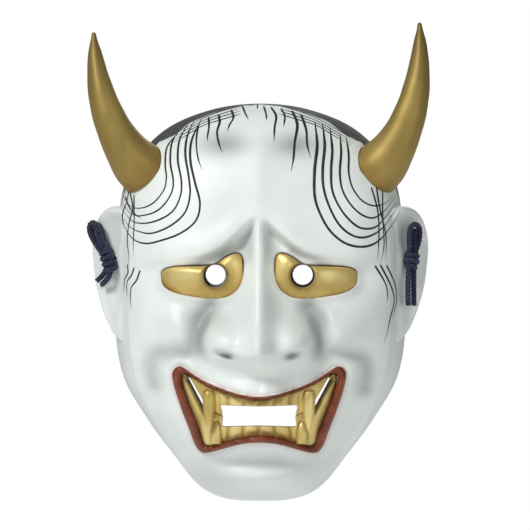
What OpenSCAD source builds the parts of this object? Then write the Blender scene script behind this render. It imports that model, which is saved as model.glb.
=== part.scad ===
// Carved theatre mask of a horned demon: a hollow wooden face with plug-in horns,
// gilt eye plates, gilt teeth and fangs, and a cord knotted at both ears.
// The face looks along -Y, +Z is up, and the flat back rim lies in the plane y = 0.

/* [Face] */
// Width of the face across the jaw, without the ears
face_width = 154; // [120:1:190]
// Height of the face from crown to chin
face_height = 212; // [180:1:260]
// Depth of the domed face over the rim, without the nose
face_depth = 54; // [46:1:66]
// Thickness of the rim that lies against the wearer or the wall
rim_wall = 8; // [6:0.5:11]
// Thickness of wood left behind the brow and the cheeks
dome_wall = 12; // [10:0.5:15]
// Length of the nose over the dome
nose_length = 27; // [20:1:32]

/* [Eyes] */
// Distance between the two pupils
pupil_spacing = 46; // [43:0.5:49]
// Height of the pupils over the middle of the rim
pupil_height = 14.5; // [12.5:0.5:15.5]
// Diameter of the pupil hole in the gilt plate
pupil_plate_d = 12.4; // [9:0.2:13]
// Diameter of the pupil hole in the wood behind the plate
pupil_wood_d = 10.6; // [7:0.2:11]
// Height of the hole in the wood over the middle of the hole in the plate
pupil_rise = 0.4; // [0:0.1:1.2]
// Thickness of the gilt eye plate
eye_plate = 2; // [1:0.2:3]
// Rise of the eyeball over a line from corner to corner
eye_bulge = 5; // [3.5:0.5:7]

/* [Mouth] */
// Width of the see-through gap between the teeth
gap_width = 41; // [32:1:42]
// Height of the see-through gap between the teeth
gap_height = 11; // [8:0.5:12]
// Width of the slit beside each row of teeth
slit_width = 2.4; // [1.6:0.2:3]
// Thickness of the tooth bands
band_wall = 7; // [5:0.5:9]
// Depth of the tooth bands behind the lips
band_setback = 4; // [3:0.5:6]
// Width of a fang at its root
fang_width = 6.6; // [5:0.2:7.4]
// Depth of the groove between two teeth
groove_depth = 0.7; // [0.4:0.1:1.2]

/* [Horns] */
// Length of a horn along its curve
horn_length = 84; // [60:1:110]
// Diameter of the round root of a horn
root_d = 28; // [24:0.5:31]
// Depth of the round seat that holds the root of a horn
seat_depth = 4; // [3:0.5:5]
// Clearance around the root in its seat
root_gap = 0.35; // [0.2:0.05:0.6]
// Diameter of the dowel in the root of a horn
peg_d = 12; // [9:0.5:14]
// Length of the dowel that plugs into the face
peg_reach = 12; // [9:1:14]
// Length of the dowel that is glued into the horn
peg_glued = 14; // [10:1:18]
// Clearance around the dowel in the bore of the face
peg_gap = 0.06; // [0.03:0.01:0.09]
// Wood left around the dowel's bore inside the face
boss_wall = 5; // [4:0.5:7]

/* [Ears and cord] */
// Height of an ear
ear_height = 74; // [64:1:84]
// Width of an ear from root to edge
ear_width = 31; // [27:0.5:33]
// Thickness of an ear
ear_wall = 7; // [6:0.5:9]
// Diameter of the cord
cord_d = 3; // [2.4:0.1:3.4]
// Diameter of the cord hole through each ear
ear_hole_d = 5; // [4.4:0.1:6]
// Diameter of the knot in front of each ear
knot_d = 10; // [8:0.5:12]

/* [Hidden] */
$fn = 48;

// Scale of the carving against its drawn size of 154 x 212 x 54
kx = face_width / 154;
kz = face_height / 212;
ky = face_depth / 54;
// Rings and spokes of the carved front
spokes = 72;
outer_rings = 24;
inner_rings = 11;
// Reach of the rim every 15 degrees, from the crown to the chin
rim_reach = [106, 106, 105, 99, 88, 80, 77, 80, 84, 87, 94, 106, 107];
// Small overlap that lets a cut pass through a face
pass = 1;

// ---- curves
function spline_at(a, b, c, d, f) =
    0.5 * (2 * b + (c - a) * f + (2 * a - 5 * b + 4 * c - d) * f * f + (3 * b - a - 3 * c + d) * f * f * f);
function reach_at(angle) = let (t = min(angle / 15, 11.9999), i = floor(t))
    spline_at(rim_reach[abs(i - 1)], rim_reach[i], rim_reach[i + 1],
              rim_reach[i + 2 > 12 ? 24 - i - 2 : i + 2], t - i);
function round_loop(p, per) = let (n = len(p))
    [for (i = [0:n - 1]) for (k = [0:per - 1])
        spline_at(p[(i + n - 1) % n], p[i], p[(i + 1) % n], p[(i + 2) % n], k / per)];
function round_line(p, per) = let (n = len(p))
    [for (i = [0:n - 2]) for (k = [0:per - 1])
        spline_at(p[max(i - 1, 0)], p[i], p[i + 1], p[min(i + 2, n - 1)], k / per), p[n - 1]];
function both_sides(p) = concat(p, [for (i = [len(p) - 1:-1:0]) if (abs(p[i][0]) > 0.001) [-p[i][0], p[i][1]]]);
function across(p) = [for (q = p) [-q[0], q[1]]];
function smooth(a, b, t) = let (s = min(max((t - a) / (b - a), 0), 1)) s * s * (3 - 2 * s);
function bump(x, z, cx, cz, wx, wz, h, p = 2) = h * exp(-pow(abs(abs(x) - cx) / wx, p) - pow(abs(z - cz) / wz, p));
function seg_gap(p, a, b) = let (d = b - a, t = min(max((p - a) * d / (d * d), 0), 1)) norm(p - a - t * d);
function line_gap(p, pts, i = 0) = i >= len(pts) - 1 ? 1000 : min(seg_gap(p, pts[i], pts[i + 1]), line_gap(p, pts, i + 1));
function unit(v) = v / norm(v);

// ---- outlines of the features, drawn for the right half or for one side
lip_inner = round_loop(both_sides([[0, -50.8], [10, -49.3], [21, -46], [29, -42.6], [35, -39], [39.6, -37.2],
    [41.3, -40.5], [38.8, -49.5], [35.5, -58.5], [32, -67], [29, -75.4], [22.5, -75], [14, -72.6], [7, -70.8], [0, -70.2]]), 2);
eye_line = round_loop([[8.6, 17], [9.3, 24.5], [12.5, 26.2], [17.5, 24.2], [23, 20.6], [28, 19.8], [36, 19.4],
    [46, 18.8], [51.5, 16.2], [51, 9.5], [45, 5.5], [36, 3.6], [27, 2.6], [18, 3], [12, 6.5], [9, 11.5]], 3);
smile_fold = round_line([[26, -3], [31.5, -10], [33.5, -20], [36, -26.5], [45, -27.5], [54, -28.5], [58, -34], [56.5, -44]], 3);
ear_line = round_loop([[-6, 44], [2, 49], [10, 52], [19, 50.5], [27, 43], [30.5, 32], [30, 20], [27.5, 8],
    [22, -4], [15, -14], [8, -20.5], [2, -21.5], [-3, -17], [-6, -8]], 3);
ear_drawn = [31, 74];
nose_high = [-41, -37, -32, -27, -21, -14, 0, 15, 30, 40, 48];
nose_rise = [0, 5, 16, 23, 25, 23, 17.5, 12.5, 8, 4, 0];
nose_half = [13, 13, 13, 13, 12.5, 11.5, 9, 6.8, 5.6, 5.2, 5];

// ---- the carved front: depth in front of the rim plane, in drawn size
function dome(rho) = pow(max(1 - pow(rho, 2.5), 0), 0.4);
function brow_at(x) = 20 + 27.4 * exp(-pow(abs(x) / 17, 1.2));
function eye_socket(x, z) = let (e = z - brow_at(x), ax = abs(x))
    2.6 * exp(-pow((e - 4.5) / 5.5, 2)) * smooth(70, 50, ax)
    - (7.5 * exp(-pow(ax / 24, 2)) + 3.6) * smooth(70, 52, ax) * smooth(5, -5, e) * exp(-pow(min(e, 0) / 19, 2));
function nose(x, z) =
    nose_length / 27 * (lookup(z, [for (i = [0:10]) [nose_high[i], nose_rise[i]]])
        * exp(-pow(sqrt(x * x + 3) / lookup(z, [for (i = [0:10]) [nose_high[i], nose_half[i]]]), 1.7))
    + bump(x, z, 20.5, -20, 9.5, 10.5, 14.5, 2.4) + bump(x, z, 0, -24, 11, 9, 5, 2.2));
function features(x, z) =
    3.2 * exp(-sqrt(x * x + 2) / 9) * smooth(34, 50, z) * smooth(106, 80, z)
    + eye_socket(x, z) + nose(x, z)
    + bump(x, z, 50, -6, 17, 15, 4.5) + bump(x, z, 40, -16, 13, 10, 5)
    + 2.2 * exp(-pow(line_gap([abs(x), z], eye_line) / 3.2, 2)) * smooth(20, 6, z)
    - 3.6 * exp(-pow(line_gap([abs(x), z], smile_fold) / 4.6, 2))
    + bump(x, z, 0, -58, 37, 25, 13, 2.4) + bump(x, z, 46, -36, 9, 11, 3)
    - 4 * exp(-pow((z + 84) / 4.5, 2)) * smooth(30, 10, abs(x))
    + bump(x, z, 0, -95, 24, 9.5, 8, 2.4);
function outer_depth(x, z) = let (rho = norm([x, z]) / reach_at(atan2(abs(x), z)))
    rho >= 1 ? 0 : 54 * dome(rho) + features(x, z) * smooth(1, 0.86, rho);
function inner_depth(x, z, q) = (54 - dome_wall) * dome(q) + smooth(1, 0.8, q)
    * (bump(x, z, 0, 70, 36, 22, 6, 2.4) + bump(x, z, 0, -24, 15, 17, nose_length * 0.5, 2.2)
       + bump(x, z, 0, -56, 32, 22, 11, 2.4) + bump(x, z, 46, -8, 18, 18, 4) + bump(x, z, 0, -94, 16, 9, 3.5));
// Depth at a place given in real size
function front_at(x, z) = ky * outer_depth(x / kx, z / kz);

// ---- the shell: spokes from the middle of the face to its rim, outside and inside
function ring_step(i, n) = pow(i / n, 0.85);
outer_points = [for (i = [1:outer_rings - 1]) let (rho = ring_step(i, outer_rings))
    for (k = [0:spokes - 1]) let (a = 360 * k / spokes, s = reach_at(abs(a > 180 ? 360 - a : a)) * rho,
        x = s * sin(a), z = s * cos(a)) [kx * x, -ky * outer_depth(x, z), kz * z]];
function rim_ring(inset, y) = [for (k = [0:spokes - 1]) let (a = 360 * k / spokes, s = reach_at(a > 180 ? 360 - a : a))
    [(kx * s - inset) * sin(a), y, (kz * s - inset) * cos(a)]];
inner_points = [for (i = [inner_rings - 1:-1:1]) let (q = ring_step(i, inner_rings))
    for (k = [0:spokes - 1]) let (a = 360 * k / spokes, s = reach_at(a > 180 ? 360 - a : a), x = s * q * sin(a), z = s * q * cos(a))
        [(kx * s - rim_wall) * q * sin(a), -ky * inner_depth(x, z, q), (kz * s - rim_wall) * q * cos(a)]];
shell_points = concat([[0, -ky * outer_depth(0, 0), 0]], outer_points,
    rim_ring(0, 0), rim_ring(0, 3), rim_ring(rim_wall, 3), rim_ring(rim_wall, 0),
    inner_points, [[0, -ky * inner_depth(0, 0, 0), 0]]);
shell_rings = outer_rings - 1 + 4 + inner_rings - 1;
last_point = shell_rings * spokes + 1;
function ring_id(r, k) = 1 + r * spokes + k % spokes;
shell_faces = concat(
    [for (k = [0:spokes - 1]) [0, ring_id(0, k), ring_id(0, k + 1)]],
    [for (r = [0:shell_rings - 2]) for (k = [0:spokes - 1])
        each [[ring_id(r, k), ring_id(r + 1, k + 1), ring_id(r, k + 1)], [ring_id(r, k), ring_id(r + 1, k), ring_id(r + 1, k + 1)]]],
    [for (k = [0:spokes - 1]) [last_point, ring_id(shell_rings - 1, k + 1), ring_id(shell_rings - 1, k)]]);

// ---- places that several pieces share
// Seat of a horn: middle of the seat floor, and the way the horn leaves it
horn_way = unit([0.69, -0.38, 0.62]);
horn_place = [63.5 * kx, -front_at(63.5 * kx, 71.5 * kz), 71.5 * kz];
seat_floor = horn_place - seat_depth * horn_way;
// Eye: the ball passes the two corners of the eye and bulges between them
eye_in = [9 * kx, -front_at(9 * kx, 14 * kz)];
eye_out = [51 * kx, -front_at(51 * kx, 12 * kz)];
eye_chord = norm(eye_out - eye_in);
ball_r = (eye_chord * eye_chord / 4 + eye_bulge * eye_bulge) / (2 * eye_bulge);
eye_normal = unit([(eye_in - eye_out)[1], (eye_out - eye_in)[0]]) * -1;
ball_at = (eye_in + eye_out) / 2 - (eye_normal[1] < 0 ? 1 : -1) * eye_normal * (ball_r - eye_bulge);
// Tooth bands: a round belt behind the lips, from the muzzle's own depth
muzzle_mid = front_at(0, -52 * kz) - band_setback;
muzzle_side = front_at(38 * kx, -43 * kz) - band_setback;
belt_drop = muzzle_mid - muzzle_side;
belt_r = (pow(38 * kx, 2) + pow(belt_drop, 2)) / (2 * belt_drop);
belt_z = -52 * kz;
upper_lean = 8;
lower_lean = 20;
function belt_front(x, z, lean) = belt_r - muzzle_mid - sqrt(belt_r * belt_r - x * x) + (belt_z - z) * tan(lean);
// Gap and slits between the bands
gap_mid = -59.4;
gap_line = let (w = gap_width / 2 / kx, h = gap_height / 2 / kz)
    both_sides([[0, gap_mid + h - 0.4], [w, gap_mid + h + 0.2], [w - 1.4, gap_mid], [w - 0.8, gap_mid - h - 0.4], [0, gap_mid - h + 0.3]]);
slit_top = [37.4, -39.6];
slit_foot = [28.8, -55];
slit_side = unit([slit_top[1] - slit_foot[1], slit_foot[0] - slit_top[0]]) * slit_width / kx;
slit_line = [slit_top + 0.35 * slit_side, slit_foot + 0.5 * slit_side, slit_foot - 0.5 * slit_side, slit_top - 0.35 * slit_side];
slit_end = slit_foot + 1.25 * (slit_top - slit_foot);
upper_area = both_sides([[0, -30], [slit_end[0], -30], slit_end, slit_foot, [gap_width / 2 / kx - 1.4, gap_mid], [0, gap_mid]]);
tooth_width = 8.2;
// Fangs: root and tip of the right-hand ones; the lower one stands beside the upper one, clear of it
fang_step = 0.62 * fang_width / kx;
upper_fang_at = [[26.4, -46.6], [27, -68]];
lower_fang_at = [[27.5 - fang_step, -73.1], [26.7 - fang_step, -60.4]];

// Ear: a plate that leaves the side of the face outward and back
ear_root = [68 * kx, -26 * ky, 0];
ear_turn = 50;
ear_scale = [ear_width / ear_drawn[0], ear_height / ear_drawn[1]];
ear_hole_at = [11.5 * ear_scale[0], 22.5 * ear_scale[1]];
ear_along = [cos(ear_turn), sin(ear_turn), 0];
ear_out = [sin(ear_turn), -cos(ear_turn), 0];
ear_hole = ear_root + ear_hole_at[0] * ear_along + ear_wall / 2 * ear_out + [0, 0, ear_hole_at[1]];
knot_high = 0.7 * knot_d;

// ---- cord route
cord_sides = 8;
// Stretch behind the face, from the right ear hole to the left one
behind_mid = [[55, -7, 17.5], [50, -6.5, 12], [42, -7.5, 5], [32, -8.5, -1], [20, -9, -6], [8, -9.5, -8.5],
              [-8, -9.5, -8.5], [-20, -9, -6], [-32, -8.5, -1], [-42, -7.5, 5], [-50, -6.5, 12], [-55, -7, 17.5]];
// Loops and tails from the middle of each knot: outward, off the ear, upward
loop_left = [[1.5, 0, 1], [5.2, 0.4, 7], [8.4, 0.6, 13], [10, 0.6, 18], [9.6, 0.6, 20.3], [7.6, 0.6, 20.6],
             [6, 0.6, 18.4], [3.8, 0.6, 12], [0.8, 0.4, 6], [-1.4, 0, 0]];
tails_left = [[[0.5, 0, -1], [3.6, 0.5, -6.5], [7, 0.6, -11.6]], [[-1.2, 0, -2], [0.6, 0.5, -8.6], [3.4, 0.6, -14.4]]];
loop_right = [[-1.2, 0, 1], [0.4, 0.4, 6], [0.8, 0.6, 11], [1.2, 0.6, 15], [2.8, 0.6, 18.2], [5, 0.6, 17.8],
              [6.2, 0.6, 14.4], [5.6, 0.6, 10], [3.4, 0.4, 5], [1.4, 0, 0]];
tails_right = [[[-0.6, 0, -1], [0, 0.5, -9], [0.4, 0.6, -17], [0.6, 0.6, -24]],
               [[1.6, 0, -1], [3, 0.5, -8.6], [3.6, 0.6, -16.6], [3.8, 0.6, -24.2]]];
// Step backward along the ear for each step outward
ear_slant = 1.35;

// ---- swept tubes
function tube_ring(p, way, r, sides, side_ref) = let (n = unit(cross(way, side_ref)), b = cross(n, way))
    [for (k = [0:sides - 1]) p + r * (n * cos(360 * k / sides) + b * sin(360 * k / sides))];
function way_at(p, i) = unit(p[min(i + 1, len(p) - 1)] - p[max(i - 1, 0)]);
module tube(p, r, sides = cord_sides, side_ref = [0, 1, 0], first_way = undef, last_way = undef) {
    n = len(p);
    points = concat([p[0]], [for (i = [0:n - 1])
        each tube_ring(p[i], i == 0 && !is_undef(first_way) ? first_way : i == n - 1 && !is_undef(last_way) ? last_way : way_at(p, i),
                       is_list(r) ? r[i] : r, sides, side_ref)], [p[n - 1]]);
    function id(i, k) = 1 + i * sides + k % sides;
    polyhedron(points, concat(
        [for (k = [0:sides - 1]) [0, id(0, k + 1), id(0, k)]],
        [for (i = [0:n - 2]) for (k = [0:sides - 1])
            each [[id(i, k), id(i + 1, k + 1), id(i + 1, k)], [id(i, k), id(i, k + 1), id(i + 1, k + 1)]]],
        [for (k = [0:sides - 1]) [n * sides + 1, id(n - 1, k), id(n - 1, k + 1)]]), convexity = 6);
}
// Turns +Z to the given way, standing at p
module stand(p, way) {
    translate(p) rotate([0, acos(way[2] / norm(way)), atan2(way[1], way[0])]) children();
}
module mirrored(side) { if (side < 0) mirror([1, 0, 0]) children(); else children(); }
// A prism along Y with an outline drawn as seen from the front
module prism(outline, front, back) {
    translate([0, back, 0]) rotate([90, 0, 0]) linear_extrude(height = back - front, convexity = 6)
        polygon([for (q = outline) [kx * q[0], kz * q[1]]]);
}

// ---- face
module ear_plate() {
    difference() {
        translate(ear_root - ear_wall / 2 * ear_out) rotate([90, 0, ear_turn])
            linear_extrude(height = ear_wall) polygon([for (q = ear_line) [ear_scale[0] * q[0], ear_scale[1] * q[1]]]);
        for (h = [38, 2]) translate(ear_root + 13 * ear_scale[0] * ear_along + (ear_wall / 2 + 21) * ear_out + [0, 0, h * ear_scale[1]])
            sphere(r = 23);
    }
}
module face_shell() {
    color([0.93, 0.95, 0.93]) difference() {
        union() {
            polyhedron(shell_points, shell_faces, convexity = 8);
            for (side = [-1, 1]) mirrored(side) {
                ear_plate();
                stand(seat_floor - (peg_reach + 3) * horn_way, horn_way) cylinder(d = peg_d + 2 * boss_wall, h = peg_reach + 3);
            }
        }
        // flat back rim
        translate([-face_width, 0, -face_height]) cube([2 * face_width, 20, 2 * face_height]);
        // mouth
        prism(lip_inner, -2 * face_depth, -10);
        for (side = [-1, 1]) mirrored(side) {
            // eye: pocket for the plate and the pupil bore
            difference() {
                prism(eye_line, -2 * face_depth, -face_depth / 2);
                translate([ball_at[0], ball_at[1], pupil_height]) sphere(r = ball_r - eye_plate);
            }
            translate([pupil_spacing / 2, 0, pupil_height + pupil_rise]) rotate([90, 0, 0]) cylinder(d = pupil_wood_d, h = 2 * face_depth);
            // horn: seat and dowel bore
            stand(seat_floor, horn_way) cylinder(d = root_d + 2 * root_gap, h = 30);
            stand(seat_floor - (peg_reach + 0.5) * horn_way, horn_way) cylinder(d = peg_d + 2 * peg_gap, h = peg_reach + pass);
            // cord hole through the ear and the side of the face
            stand(ear_hole - 40 * ear_out, ear_out) cylinder(d = ear_hole_d, h = 40 + knot_d);
        }
    }
}

// ---- eyes
module eye_plate_piece() {
    color([0.69, 0.59, 0.35]) difference() {
        intersection() {
            prism(eye_line, -2 * face_depth, -face_depth / 2);
            translate([ball_at[0], ball_at[1], pupil_height]) sphere(r = ball_r);
        }
        translate([ball_at[0], ball_at[1], pupil_height]) sphere(r = ball_r - eye_plate);
        translate([pupil_spacing / 2, 0, pupil_height]) rotate([90, 0, 0]) cylinder(d = pupil_plate_d, h = 2 * face_depth);
    }
}
module eye_left() { mirrored(-1) eye_plate_piece(); }
module eye_right() { eye_plate_piece(); }

// ---- teeth
module belt(lean) {
    translate([0, -muzzle_mid, belt_z]) rotate([lean, 0, 0]) translate([0, belt_r, 0]) difference() {
        cylinder(r = belt_r, h = face_height, center = true);
        cylinder(r = belt_r - band_wall, h = face_height, center = true);
    }
}
module band_cuts(lean) {
    prism(gap_line, -2 * face_depth, 0);
    for (side = [-1, 1]) mirrored(side) {
        prism(slit_line, -2 * face_depth, 0);
        fang(upper_fang_at, upper_lean);
        fang(lower_fang_at, lower_lean);
    }
    for (i = [-2:2]) let (x = i * tooth_width) translate([x, belt_front(x, belt_z, lean), belt_z])
        rotate([lean, 0, 0]) cylinder(r = groove_depth, h = face_height / 2, center = true, $fn = 24);
}
// A fang stands on its root, half sunk in the band
module fang(line, lean) {
    root = [kx * line[0][0], belt_front(kx * line[0][0], kz * line[0][1], lean), kz * line[0][1]];
    tip = [kx * line[1][0], belt_front(kx * line[1][0], kz * line[1][1], lean) - 1, kz * line[1][1]];
    long = norm(tip - root);
    r = fang_width / 2;
    stand(root, tip - root) rotate_extrude($fn = 32)
        polygon([[0, 0], [r * 0.94, 0], [r, long * 0.15], [r * 0.92, long * 0.4], [r * 0.7, long * 0.68], [r * 0.36, long * 0.9], [0, long]]);
}
module upper_teeth() {
    color([0.60, 0.54, 0.35]) difference() {
        intersection() {
            prism(lip_inner, -2 * face_depth, 0);
            prism(upper_area, -2 * face_depth, 0);
            belt(upper_lean);
        }
        band_cuts(upper_lean);
    }
}
module lower_teeth() {
    color([0.60, 0.54, 0.35]) difference() {
        intersection() {
            prism(lip_inner, -2 * face_depth, 0);
            belt(lower_lean);
        }
        prism(upper_area, -2 * face_depth, 0);
        band_cuts(lower_lean);
    }
}
module upper_fang_left() { color([0.66, 0.59, 0.38]) mirrored(-1) fang(upper_fang_at, upper_lean); }
module upper_fang_right() { color([0.66, 0.59, 0.38]) fang(upper_fang_at, upper_lean); }
module lower_fang_left() { color([0.66, 0.59, 0.38]) mirrored(-1) fang(lower_fang_at, lower_lean); }
module lower_fang_right() { color([0.66, 0.59, 0.38]) fang(lower_fang_at, lower_lean); }

// ---- horns
// A horn bends from its seat up to a nearly upright tip: turning points from the seat floor
horn_start = 1;
horn_reach_out = 20;
horn_bend = [26.8, -8.5, 38];
horn_tip = [28.4, 0, 75];
// Share of the root radius along the horn
horn_taper = [0.98, 0.975, 0.92, 0.83, 0.75, 0.69, 0.635, 0.58, 0.52, 0.445, 0.355, 0.25, 0.09];
horn_drawn = 84;
horn_lean = [0, -3.5];
// The right horn stands a little taller than the left one
horn_grow = [0.976, 1.022];
horn_sides = 24;
function bezier(a, b, c, d, t) = pow(1 - t, 3) * a + 3 * t * pow(1 - t, 2) * b + 3 * t * t * (1 - t) * c + t * t * t * d;
function leaned(p, lean) = let (a = lean * p[2] / horn_tip[2]) [p[0] * cos(a) + p[2] * sin(a), p[1], p[2] * cos(a) - p[0] * sin(a)];
module horn_piece(lean, share) {
    grow = share * horn_length / horn_drawn;
    line = [for (i = [0:24]) seat_floor + bezier(horn_start * horn_way, (horn_start + grow * horn_reach_out) * horn_way,
        grow * leaned(horn_bend, lean), grow * leaned(horn_tip, lean), i / 24)];
    taper = round_line(horn_taper, 2);
    color([0.63, 0.54, 0.30]) difference() {
        union() {
            stand(seat_floor, horn_way) cylinder(d = root_d, h = seat_depth);
            tube(line, [for (t = taper) t * root_d / 2], sides = horn_sides, first_way = horn_way);
        }
        stand(seat_floor - pass * horn_way, horn_way) cylinder(d = peg_d, h = peg_glued + pass);
    }
}
module horn_peg() {
    color([0.72, 0.56, 0.38]) stand(seat_floor - peg_reach * horn_way, horn_way) {
        cylinder(d1 = peg_d - 2, d2 = peg_d, h = 1);
        translate([0, 0, 1]) cylinder(d = peg_d, h = peg_reach + peg_glued - 1);
    }
}
module horn_left() { mirrored(-1) horn_piece(horn_lean[0], horn_grow[0]); }
module horn_right() { horn_piece(horn_lean[1], horn_grow[1]); }
module horn_peg_left() { mirrored(-1) horn_peg(); }
module horn_peg_right() { horn_peg(); }

// ---- cord
module hanging_cord() {
    inward = [for (d = [0, 11, 22]) ear_hole - d * ear_out];
    path = concat(inward, behind_mid, [for (i = [2:-1:0]) [-inward[i][0], inward[i][1], inward[i][2]]]);
    color([0.16, 0.17, 0.25]) tube(path, cord_d / 2, first_way = -ear_out, last_way = [-ear_out[0], ear_out[1], 0]);
}
module ear_knot(side, loop, tails) {
    middle = ear_hole + knot_high / 2 * ear_out;
    function laid(p) = [for (q = p) [side * (middle[0] + q[0]), middle[1] + ear_slant * q[0] - q[1], middle[2] + q[2]]];
    color([0.16, 0.17, 0.25]) union() {
        mirrored(side) stand(ear_hole, ear_out) rotate_extrude($fn = 32) polygon([[0, 0], [knot_d * 0.36, 0],
            [knot_d * 0.5, knot_high * 0.34], [knot_d * 0.5, knot_high * 0.62], [knot_d * 0.34, knot_high * 0.9], [0, knot_high]]);
        tube(round_line(laid(loop), 2), cord_d / 2);
        for (t = tails) tube(laid(t), cord_d / 2);
    }
}
module ear_knot_left() { ear_knot(-1, loop_left, tails_left); }
module ear_knot_right() { ear_knot(1, loop_right, tails_right); }

face_shell();
eye_left();
eye_right();
upper_teeth();
lower_teeth();
upper_fang_left();
upper_fang_right();
lower_fang_left();
lower_fang_right();
horn_left();
horn_right();
horn_peg_left();
horn_peg_right();
hanging_cord();
ear_knot_left();
ear_knot_right();
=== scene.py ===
import math

import bmesh
import bpy
import numpy as np
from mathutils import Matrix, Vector
from mathutils.bvhtree import BVHTree


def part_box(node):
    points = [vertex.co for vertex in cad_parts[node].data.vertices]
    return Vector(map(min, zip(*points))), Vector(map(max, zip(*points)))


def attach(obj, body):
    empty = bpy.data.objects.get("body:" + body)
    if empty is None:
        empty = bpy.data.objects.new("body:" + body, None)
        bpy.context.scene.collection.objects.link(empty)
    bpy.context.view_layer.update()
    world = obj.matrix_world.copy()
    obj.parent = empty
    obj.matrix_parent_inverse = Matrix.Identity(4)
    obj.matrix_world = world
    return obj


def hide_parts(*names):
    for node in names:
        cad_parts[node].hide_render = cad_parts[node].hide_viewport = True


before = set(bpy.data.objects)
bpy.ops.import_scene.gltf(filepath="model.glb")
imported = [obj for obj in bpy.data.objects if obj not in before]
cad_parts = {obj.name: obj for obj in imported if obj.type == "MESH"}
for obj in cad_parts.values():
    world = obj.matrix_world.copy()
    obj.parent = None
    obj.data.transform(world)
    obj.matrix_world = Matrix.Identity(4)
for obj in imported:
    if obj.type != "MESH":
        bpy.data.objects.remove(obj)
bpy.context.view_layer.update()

MM = 0.001

# ---------------------------------------------------------------- camera
# The mask is seen straight on from far away, a touch from its own left
# and from above, as a mask on a wall is looked at from across a room.
camera_turn, camera_lift, camera_away = math.radians(0.8), math.radians(0.8), 3.0
looked_at, view_width, sensor_width = Vector((2.7, -20.0, 19.7)) * MM, 282.49 * MM, 36
towards = Vector((math.sin(camera_turn) * math.cos(camera_lift),
                  -math.cos(camera_turn) * math.cos(camera_lift), math.sin(camera_lift)))
camera_data = bpy.data.cameras.new("camera")
camera_data.sensor_width = sensor_width
camera_data.lens = sensor_width * camera_away / view_width
camera_data.clip_end = 20
camera = bpy.data.objects.new("camera", camera_data)
camera.location = looked_at + towards * camera_away
camera.rotation_euler = towards.to_track_quat("Z", "Y").to_euler()
bpy.context.scene.collection.objects.link(camera)
bpy.context.scene.camera = camera
bpy.context.scene.view_settings.view_transform = "Standard"

# ---------------------------------------------------------------- cord
# One navy cord of twisted silk, 3 mm thick, runs through a hole in each ear
# and sags behind the face. A loop, a knot and two tails hold it in front of
# each ear, so the mask can be tied on or hung up.


class Value:
    """One number that nodes work out: Python maths on it adds Math nodes beside them."""

    def __init__(self, nodes, socket):
        self.nodes, self.socket = nodes, socket

    def maths(self, operation, *numbers):
        made = self.nodes.add("ShaderNodeMath", {"operation": operation}, dict(enumerate(numbers)))
        return Value(self.nodes, made.outputs[0])

    def __add__(self, other):
        return self.maths("ADD", self, other)

    def __radd__(self, other):
        return self.maths("ADD", other, self)

    def __sub__(self, other):
        return self.maths("SUBTRACT", self, other)

    def __rsub__(self, other):
        return self.maths("SUBTRACT", other, self)

    def __mul__(self, other):
        return self.maths("MULTIPLY", self, other)

    def __rmul__(self, other):
        return self.maths("MULTIPLY", other, self)

    def __truediv__(self, other):
        return self.maths("DIVIDE", self, other)

    def __rtruediv__(self, other):
        return self.maths("DIVIDE", other, self)

    def cosine(self):
        return self.maths("COSINE", self)

    def sine(self):
        return self.maths("SINE", self)

    def between(self, low, high):
        """0 below low, 1 above high, and a smooth step from one to the other."""
        made = self.nodes.add("ShaderNodeMapRange", {"interpolation_type": "SMOOTHSTEP"},
                              {"Value": self, "From Min": low, "From Max": high})
        return Value(self.nodes, made.outputs[0])


class Nodes:
    """A node tree, filled one node at a time: settings first, then a link or a value for each socket."""

    def __init__(self, tree):
        self.tree = tree

    def add(self, kind, settings=None, sockets=None):
        made = self.tree.nodes.new(kind)
        for key, value in (settings or {}).items():
            setattr(made, key, value)
        for key, value in (sockets or {}).items():
            value = value.socket if isinstance(value, Value) else value
            if isinstance(value, bpy.types.NodeSocket):
                self.tree.links.new(value, made.inputs[key])
            else:
                made.inputs[key].default_value = value
        return made


class Finish(Nodes):
    """A material on the one Principled shader, with its constants on the shader's own sockets."""

    def __init__(self, name, **constants):
        self.material = bpy.data.materials.new(name)
        self.material.use_nodes = True
        super().__init__(self.material.node_tree)
        self.shader = self.tree.nodes["Principled BSDF"]
        for socket, value in constants.items():
            self.shader.inputs[socket.replace("_", " ")].default_value = value

    def stretched(self, scale):
        """Places on the piece, scaled along each axis."""
        place = self.add("ShaderNodeTexCoord").outputs["Object"]
        return self.add("ShaderNodeMapping", None, {"Vector": place, "Scale": scale}).outputs[0]

    def noise(self, scale, detail=3.0, at=None):
        at = at or self.add("ShaderNodeTexCoord").outputs["Object"]
        made = self.add("ShaderNodeTexNoise", None, {"Vector": at, "Scale": scale, "Detail": detail})
        return Value(self, made.outputs[0])

    def painted(self, name):
        """What is written under a name at each point of the piece."""
        return Value(self, self.add("ShaderNodeAttribute", {"attribute_name": name}).outputs["Fac"])

    def mixed(self, amount, first, second):
        sockets = {0: amount}
        for key, colour in ((6, first), (7, second)):
            sockets[key] = colour if isinstance(colour, bpy.types.NodeSocket) else (*colour, 1)
        return self.add("ShaderNodeMix", {"data_type": "RGBA"}, sockets).outputs[2]

    def colour(self, socket):
        self.tree.links.new(socket, self.shader.inputs["Base Color"])

    def rough(self, value):
        self.tree.links.new(value.socket, self.shader.inputs["Roughness"])

    def relief(self, height, depth, strength):
        """A bump whose height runs from 0 to 1 over depth metres."""
        bump = self.add("ShaderNodeBump", None, {"Height": height, "Distance": depth, "Strength": strength})
        self.tree.links.new(bump.outputs[0], self.shader.inputs["Normal"])


def srgb(red, green, blue):
    """A colour named by its 0 to 255 screen values, as the shader wants it."""
    return tuple(((c / 255 + 0.055) / 1.055) ** 2.4 for c in (red, green, blue))


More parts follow.
